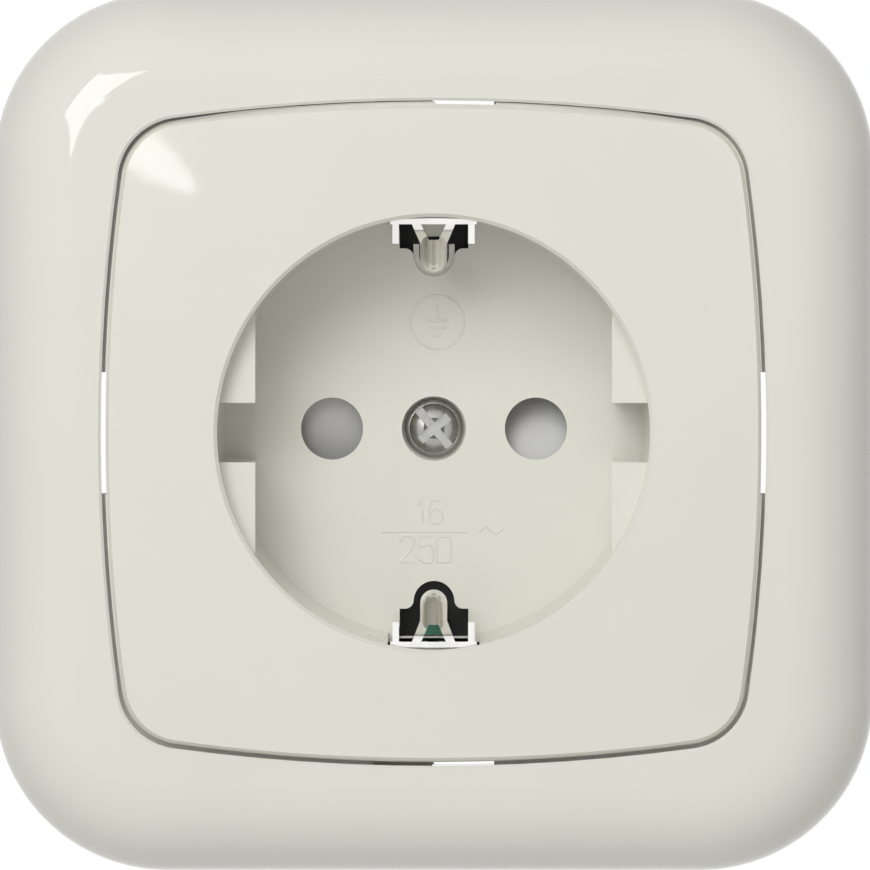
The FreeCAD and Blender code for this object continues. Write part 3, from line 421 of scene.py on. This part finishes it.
def metal_skin():
    """Node group: drawn or rolled streaks along one way, and a fine grain."""
    group = bpy.data.node_groups.new("metal_skin", "ShaderNodeTree")
    face = group.interface
    face.new_socket("Stretch", in_out="INPUT", socket_type="NodeSocketVector")
    face.new_socket("Grain Scale", in_out="INPUT", socket_type="NodeSocketFloat")
    for name in ("Streak", "Grain"):
        face.new_socket(name, in_out="OUTPUT", socket_type="NodeSocketFloat")
    inputs = add_node(group, "NodeGroupInput", (-800, 0))
    outputs = add_node(group, "NodeGroupOutput", (400, 0))
    place = add_node(group, "ShaderNodeTexCoord", (-800, -300))
    along = add_node(group, "ShaderNodeVectorMath", (-500, 150), operation="MULTIPLY")
    streak = add_node(group, "ShaderNodeTexNoise", (-200, 150))
    streak.inputs["Scale"].default_value = 1.0
    streak.inputs["Detail"].default_value = 4.0
    grain = add_node(group, "ShaderNodeTexNoise", (-200, -150))
    grain.inputs["Detail"].default_value = 2.0
    group.links.new(place.outputs["Object"], along.inputs[0])
    group.links.new(inputs.outputs["Stretch"], along.inputs[1])
    group.links.new(along.outputs["Vector"], streak.inputs["Vector"])
    group.links.new(place.outputs["Object"], grain.inputs["Vector"])
    group.links.new(inputs.outputs["Grain Scale"], grain.inputs["Scale"])
    group.links.new(streak.outputs["Fac"], outputs.inputs["Streak"])
    group.links.new(grain.outputs["Fac"], outputs.inputs["Grain"])
    return group


METAL_SKIN = metal_skin()


def plated_metal(name, colour, shadow, gloss, spread, depth, stretch=STREAKS_UPRIGHT):
    """Bare or plated metal with streaks in its tone and gloss."""
    material = bpy.data.materials.new(name)
    material.use_nodes = True
    tree = material.node_tree
    shader = tree.nodes["Principled BSDF"]
    shader.inputs["Metallic"].default_value = 1.0
    skin = add_node(tree, "ShaderNodeGroup", (-900, 0), node_tree=METAL_SKIN)
    skin.inputs["Stretch"].default_value = stretch
    skin.inputs["Grain Scale"].default_value = GRAIN_SCALE
    tint = add_node(tree, "ShaderNodeMix", (-500, 200), data_type="RGBA")
    tint.inputs["A"].default_value = (*shadow, 1)
    tint.inputs["B"].default_value = (*colour, 1)
    rough = add_node(tree, "ShaderNodeMapRange", (-500, -50))
    rough.inputs["From Min"].default_value = STREAK_LOW
    rough.inputs["From Max"].default_value = STREAK_HIGH
    rough.inputs["To Min"].default_value = gloss - spread
    rough.inputs["To Max"].default_value = gloss + spread
    bump = add_node(tree, "ShaderNodeBump", (-250, -300))
    bump.inputs["Strength"].default_value = 1.0
    bump.inputs["Distance"].default_value = depth
    tree.links.new(skin.outputs["Streak"], tint.inputs["Factor"])
    tree.links.new(skin.outputs["Streak"], rough.inputs["Value"])
    tree.links.new(skin.outputs["Grain"], bump.inputs["Height"])
    tree.links.new(tint.outputs["Result"], shader.inputs["Base Color"])
    tree.links.new(rough.outputs["Result"], shader.inputs["Roughness"])
    tree.links.new(bump.outputs["Normal"], shader.inputs["Normal"])
    return material


nickel = plated_metal("nickel_strip", colour=(0.95, 0.94, 0.92), shadow=(0.76, 0.75, 0.72),
                      gloss=0.18, spread=0.06, depth=4e-6)
finish_node("earth_bow", nickel)
finish_node("earth_terminal", nickel)


# Centre screw
# A zinc-plated screw with a low domed head, driven by a slot and a cross, that holds the plate to
# the earth bow. The thread is rolled.

TURNED_STEPS = 64
THREAD_STEPS = 24
THREAD_SINK = 0.05
SHARP_DEGREES = 32
SLOT_TURN = 50.0
HEAD_FRONT_Y = 7.5
PLATE_SCREW_HEAD = [(0, 7.58), (0.8, 7.63), (1.5, 7.80), (2.0, 8.03), (2.22, 8.2), (2.3, 8.34),
                    (2.55, 8.38), (2.7, 8.5), (2.75, 8.7), (2.75, 9.045)]
PLATE_SCREW_SHANK = [(1.2, 9.045), (1.2, 21.2), (0.8, 21.75), (0, 21.76)]

zinc = plated_metal("zinc_plate", colour=(0.50, 0.50, 0.48), shadow=(0.35, 0.35, 0.33),
                    gloss=0.30, spread=0.08, depth=9e-6, stretch=NO_STREAKS)


def add_turned(mesh, outline, at):
    """Add a turned solid: (radius, depth) points in millimetres, from its axis to its axis."""
    points = [mesh.verts.new(((at[0] + r) * MM, y * MM, at[1] * MM)) for r, y in outline]
    edges = [mesh.edges.new(pair) for pair in zip(points, points[1:])]
    bmesh.ops.spin(mesh, geom=points + edges, axis=(0, 1, 0), cent=(at[0] * MM, 0, at[1] * MM),
                   angle=2 * math.pi, steps=TURNED_STEPS, use_merge=True)
    bmesh.ops.remove_doubles(mesh, verts=mesh.verts, dist=MERGE_WITHIN / 10)
    bmesh.ops.recalc_face_normals(mesh, faces=mesh.faces)


def add_thread(mesh, at, crest, core, start, end, pitch):
    """A rolled thread: one ridge wound round the core from start to end, all in millimetres."""
    root = core - THREAD_SINK
    ridge = [mesh.verts.new(((at[0] + r) * MM, (start + y) * MM, at[1] * MM)) for r, y in
             ((root, 0), (crest, 0.45 * pitch), (root, 0.9 * pitch))]
    loop = [mesh.edges.new(pair) for pair in zip(ridge, ridge[1:] + ridge[:1])]
    winds = (end - start - pitch) / pitch
    bmesh.ops.spin(mesh, geom=ridge + loop, axis=(0, 1, 0), cent=(at[0] * MM, 0, at[1] * MM),
                   dvec=(0, pitch * MM / THREAD_STEPS, 0), angle=2 * math.pi * winds,
                   steps=round(THREAD_STEPS * winds))
    bmesh.ops.holes_fill(mesh, edges=[e for e in mesh.edges if e.is_boundary], sides=3)
    bmesh.ops.recalc_face_normals(mesh, faces=mesh.faces)


def cutter(name, size, at, turn, tip=None):
    """A block, or with a tip a four-sided point, that a driver recess is cut with."""
    mesh = bmesh.new()
    place = Matrix.Translation(Vector(at) * MM) @ Matrix.Rotation(math.radians(turn), 4, "Y")
    if tip is None:
        bmesh.ops.create_cube(mesh, size=1,
                              matrix=place @ Matrix.Diagonal((*(Vector(size) * MM), 1)))
    else:
        bmesh.ops.create_cone(mesh, cap_ends=True, segments=4, radius1=size[0] * MM,
                              radius2=tip * MM, depth=size[1] * MM,
                              matrix=place @ Matrix.Rotation(-math.pi / 2, 4, "X"))
    return to_object(name, mesh)


def machine_screw(name, node, body, mesh, cutters):
    """Cut the driver recess into a screw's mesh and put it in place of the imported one."""
    blank = to_object(name + "_blank", mesh)
    for tool in cutters:
        cut = blank.modifiers.new(tool.name, "BOOLEAN")
        cut.object = tool
        cut.operation = "DIFFERENCE"
        cut.solver = "EXACT"
    screw = as_mesh(name, blank)
    for tool in cutters:
        bpy.data.objects.remove(tool)
    smooth(screw.data, SHARP_DEGREES)
    dress(screw, zinc, body)
    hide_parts(node)


plate_screw = bmesh.new()
add_turned(plate_screw, PLATE_SCREW_HEAD + PLATE_SCREW_SHANK, (0, 0))
add_thread(plate_screw, (0, 0), crest=1.45, core=1.2, start=9.6, end=21.0, pitch=0.7)
machine_screw("plate_screw", "centre_screw", "socket", plate_screw, [
    cutter("slot_cut", (5.0, 1.5, 0.82), (0, HEAD_FRONT_Y, 0), SLOT_TURN),
    cutter("cross_cut", (3.5, 1.7, 0.86), (0, HEAD_FRONT_Y, 0), SLOT_TURN - 90),
    cutter("point_cut", (2.3, 1.3), (0, HEAD_FRONT_Y + 0.2, 0), SLOT_TURN, tip=0.35)])


# Shutter
# A grey-white moulding behind the pin holes. Its two sloping faces make it turn aside when both
# pins push on it. A folded steel leaf turns it back, and a flat disc keeps it in place. The disc's
# near-black is painted shade for the openings at the earth contacts.

shutter_grey = moulded_plastic("shutter_grey", colour=(0.62, 0.62, 0.615), gloss=0.35,
                               spread=0.06, ripple_depth=3e-6)
finish_node("shutter", shutter_grey)
# Near-black painted shade: the disc shows through the openings at the earth contacts and stands for
# their deep shadow.
disc_black = moulded_plastic("disc_black", colour=(0.012, 0.012, 0.012), gloss=0.45,
                             spread=0.05, ripple_depth=4e-6)
finish_node("shutter_retainer", disc_black)
spring_steel = plated_metal("spring_steel", colour=(0.50, 0.50, 0.51),
                            shadow=(0.34, 0.34, 0.35), gloss=0.28, spread=0.08, depth=3e-6)


def pressed_spring(name, node):
    """Put a copy of a packed spring's shape, in spring steel, in place of the packed one."""
    mesh = bmesh.new()
    mesh.from_mesh(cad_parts[node].data)
    bmesh.ops.remove_doubles(mesh, verts=mesh.verts, dist=MERGE_WITHIN)
    spring = to_object(name, mesh)
    smooth(spring.data, SHARP_DEGREES)
    dress(spring, spring_steel, "socket")
    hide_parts(node)
    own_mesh(spring)


pressed_spring("shutter_leaf", "shutter_spring")


# Mounting ring
# Zinc-plated sheet steel, stamped, lying on the wall, with slots for the box screws. Two rivets
# hold the base to it.

sheet_zinc = plated_metal("sheet_zinc", colour=(0.70, 0.70, 0.67), shadow=(0.50, 0.50, 0.47),
                          gloss=0.36, spread=0.10, depth=5e-6, stretch=STREAKS_SHEET)
finish_node("mounting_ring", sheet_zinc)
finish_node("ring_rivets", zinc)


# Base and rear cover
# Dark green mouldings that hold the contacts. Two screws close the cover on the base, and three
# grey push buttons in the cover free the wires.

DARK_GREEN = (0.030, 0.170, 0.100)
BASE_RIPPLE_SCALE = 2600.0
COVER_SCREWS = ((17.0, -16.0, 25), (-17.0, 16.0, 65))
COVER_SCREW = [(0, 32.1), (1.2, 32.05), (1.9, 31.8), (2.25, 31.4), (2.3, 31.1), (2.3, 30.8),
               (0.95, 30.8), (0.95, 23.3), (0.5, 22.8), (0, 22.8)]
COVER_HEAD_Y = 32.0

base_green = moulded_plastic("base_green", DARK_GREEN, gloss=0.42, spread=0.08,
                             ripple_depth=8e-6, ripple_scale=BASE_RIPPLE_SCALE)
for node in ("socket_base", "rear_cover"):
    finish_node(node, base_green)
cover_screws = bmesh.new()
tools = []
for i, (x, z, turn) in enumerate(COVER_SCREWS):
    add_turned(cover_screws, COVER_SCREW, (x, z))
    add_thread(cover_screws, (x, z), crest=1.2, core=0.95, start=23.2, end=30.6, pitch=0.6)
    tools += [cutter(f"cover_slot_{i}", (5.0, 1.2, 0.7), (x, COVER_HEAD_Y, z), turn),
              cutter(f"cover_cross_{i}", (2.6, 1.6, 0.7), (x, COVER_HEAD_Y, z), turn - 90)]
machine_screw("cover_screws_turned", "cover_screws", "socket", cover_screws, tools)
button_grey = moulded_plastic("button_grey", colour=(0.46, 0.46, 0.44), gloss=0.4,
                              spread=0.05, ripple_depth=5e-6)
for wire in ("live", "neutral", "earth"):
    finish_node(wire + "_release", button_grey)


# Contacts and wire clamps
# Brass forks that grip the plug's pins, and folded steel springs that hold the wires, all in
# pockets of the base.

brass = plated_metal("contact_brass", colour=(0.82, 0.62, 0.28), shadow=(0.62, 0.44, 0.17),
                     gloss=0.26, spread=0.07, depth=3e-6)
for wire in ("live", "neutral"):
    finish_node(wire + "_contact", brass)
for wire in ("live", "neutral", "earth"):
    pressed_spring(wire + "_clamp_spring", wire + "_clamp")


# Claws
# Hardened steel claws at both sides, drawn forward and outward by a nut on a long screw, so that
# they grip the inside of the wall box.

CLAW_SCREW_X = 25.0
CLAW_SCREW = [(0, -3.2), (1.4, -3.16), (2.2, -2.95), (2.6, -2.6), (2.7, -2.2), (2.7, -1.2),
              (1.2, -1.2), (1.2, 27.9), (0.7, 28.5), (0, 28.5)]
CLAW_HEAD_Y = -3.3
CLAW_SLOT_TURN = 35.0

for side in ("left", "right"):
    finish_node(side + "_claw", sheet_zinc)
    finish_node(side + "_claw_nut", zinc)
    x = -CLAW_SCREW_X if side == "left" else CLAW_SCREW_X
    claw_screw = bmesh.new()
    node = side + "_claw_screw"
    add_turned(claw_screw, CLAW_SCREW, (x, 0))
    add_thread(claw_screw, (x, 0), crest=1.5, core=1.2, start=-0.6, end=27.7, pitch=1.0)
    machine_screw(node + "_turned", node, node, claw_screw, [
        cutter("claw_slot", (6.0, 2.0, 0.8), (x, CLAW_HEAD_Y, 0), CLAW_SLOT_TURN),
        cutter("claw_cross", (3.2, 2.8, 0.85), (x, CLAW_HEAD_Y, 0), CLAW_SLOT_TURN - 90)])


# Studio
# A pale floor well below the socket and a white surround. Of three soft lights at the upper left,
# two give the highlights on the frame and the plate, and the third lights the well without being
# mirrored. The camera has a long lens and stands a little above the middle.

FLOOR_Z = -0.12
FLOOR_SIZE = 2.4
FLOOR_GREY = (0.86, 0.86, 0.85)
FLOOR_ROUGHNESS = 0.7
SURROUND_LIGHT = 0.33
LIGHT_DISTANCE = 1.2
SCREEN_DISTANCE = 0.72

bpy.ops.mesh.primitive_plane_add(size=FLOOR_SIZE, location=(0, 0, FLOOR_Z))
floor = bpy.context.object
floor.name = "studio_floor"
floor_paint = bpy.data.materials.new("floor_paint")
floor_paint.use_nodes = True
tree = floor_paint.node_tree
shader = tree.nodes["Principled BSDF"]
shader.inputs["Base Color"].default_value = (*FLOOR_GREY, 1)
shader.inputs["Roughness"].default_value = FLOOR_ROUGHNESS
floor_path = add_node(tree, "ShaderNodeLightPath", (-500, 400))
floor_white = add_node(tree, "ShaderNodeEmission", (0, 300))
floor_mix = add_node(tree, "ShaderNodeMixShader", (300, 100))
tree.links.new(floor_path.outputs["Is Glossy Ray"], floor_mix.inputs["Fac"])
tree.links.new(shader.outputs["BSDF"], floor_mix.inputs[1])
tree.links.new(floor_white.outputs["Emission"], floor_mix.inputs[2])
tree.links.new(floor_mix.outputs["Shader"], tree.nodes["Material Output"].inputs["Surface"])
floor.data.materials.append(floor_paint)

world = bpy.data.worlds.new("studio")
scene.world = world
world.use_nodes = True
tree = world.node_tree
tree.nodes.clear()
path = add_node(tree, "ShaderNodeLightPath", (-900, 0))
mirrored = add_node(tree, "ShaderNodeMath", (-700, -100), operation="MAXIMUM")
seen = add_node(tree, "ShaderNodeMath", (-550, 0), operation="MAXIMUM")
strength = add_node(tree, "ShaderNodeMapRange", (-250, 0))
strength.inputs["To Min"].default_value = SURROUND_LIGHT
strength.inputs["To Max"].default_value = 1.0
sky = add_node(tree, "ShaderNodeBackground", (0, 0))
sky.inputs["Color"].default_value = (1, 1, 1, 1)
sky_out = add_node(tree, "ShaderNodeOutputWorld", (200, 0))
tree.links.new(path.outputs["Is Glossy Ray"], mirrored.inputs[0])
tree.links.new(path.outputs["Is Transmission Ray"], mirrored.inputs[1])
tree.links.new(path.outputs["Is Camera Ray"], seen.inputs[0])
tree.links.new(mirrored.outputs["Value"], seen.inputs[1])
tree.links.new(seen.outputs["Value"], strength.inputs["Value"])
tree.links.new(strength.outputs["Result"], sky.inputs["Strength"])
tree.links.new(sky.outputs["Background"], sky_out.inputs["Surface"])


def soft_light(name, off_axis, around, deep, wide, brightness, shape="RECTANGLE", mirrored=True,
               distance=LIGHT_DISTANCE):
    """Soft light, deep along its tilt and wide around. off_axis is its angle from the socket's
    axis, around goes from the right up, and brightness 1 is the white of the surround."""
    lamp = bpy.data.lights.new(name, "AREA")
    lamp.shape = shape
    lamp.size = deep
    lamp.size_y = wide
    area = deep * wide * (math.pi / 4 if shape == "ELLIPSE" else 1)
    lamp.energy = brightness * math.pi * area
    light = bpy.data.objects.new(name, lamp)
    light.visible_glossy = mirrored
    tilt, turn = math.radians(off_axis), math.radians(around)
    spoke = Vector((math.cos(turn), 0, math.sin(turn)))
    outward = spoke * math.cos(tilt) + Vector((0, math.sin(tilt), 0))
    sideways = Vector((-math.sin(turn), 0, math.cos(turn)))
    way = spoke * math.sin(tilt) - Vector((0, math.cos(tilt), 0))
    turned_way = Matrix((outward, sideways, way)).transposed().to_4x4()
    light.matrix_world = Matrix.Translation(way * distance) @ turned_way
    scene.collection.objects.link(light)


soft_light("frame_softbox", off_axis=24.5, around=141, deep=0.54, wide=0.33, brightness=5.0)
soft_light("plate_softbox", off_axis=11.6, around=141.8, deep=0.092, wide=0.021, brightness=5.0,
           shape="ELLIPSE")
soft_light("upper_left_screen", off_axis=33, around=107, deep=0.33, wide=0.33, brightness=5.8,
           mirrored=False, distance=SCREEN_DISTANCE)

CAMERA_DISTANCE = 1.8
CAMERA_UP = 1.5
CAMERA_TURN = 0.15
CAMERA_SIGHT = 20.0
SENSOR_WIDTH = 36.0
VIEW_WIDTH = 80.33 * MM
FACE_Y = -10.86 * MM
AIM = Vector((0.14 * MM, FACE_Y, -0.14 * MM))

camera_data = bpy.data.cameras.new("camera")
camera_data.sensor_width = SENSOR_WIDTH
camera_data.lens = SENSOR_WIDTH * CAMERA_DISTANCE / VIEW_WIDTH
camera_data.clip_end = CAMERA_SIGHT
camera = bpy.data.objects.new("camera", camera_data)
up, turn = math.radians(CAMERA_UP), math.radians(CAMERA_TURN)
back = Vector((math.sin(turn) * math.cos(up), -math.cos(turn) * math.cos(up), math.sin(up)))
camera.matrix_world = (Matrix.Translation(AIM + back * CAMERA_DISTANCE)
                       @ back.to_track_quat("Z", "Y").to_matrix().to_4x4())
scene.collection.objects.link(camera)
scene.camera = camera
scene.view_settings.view_transform = "Standard"
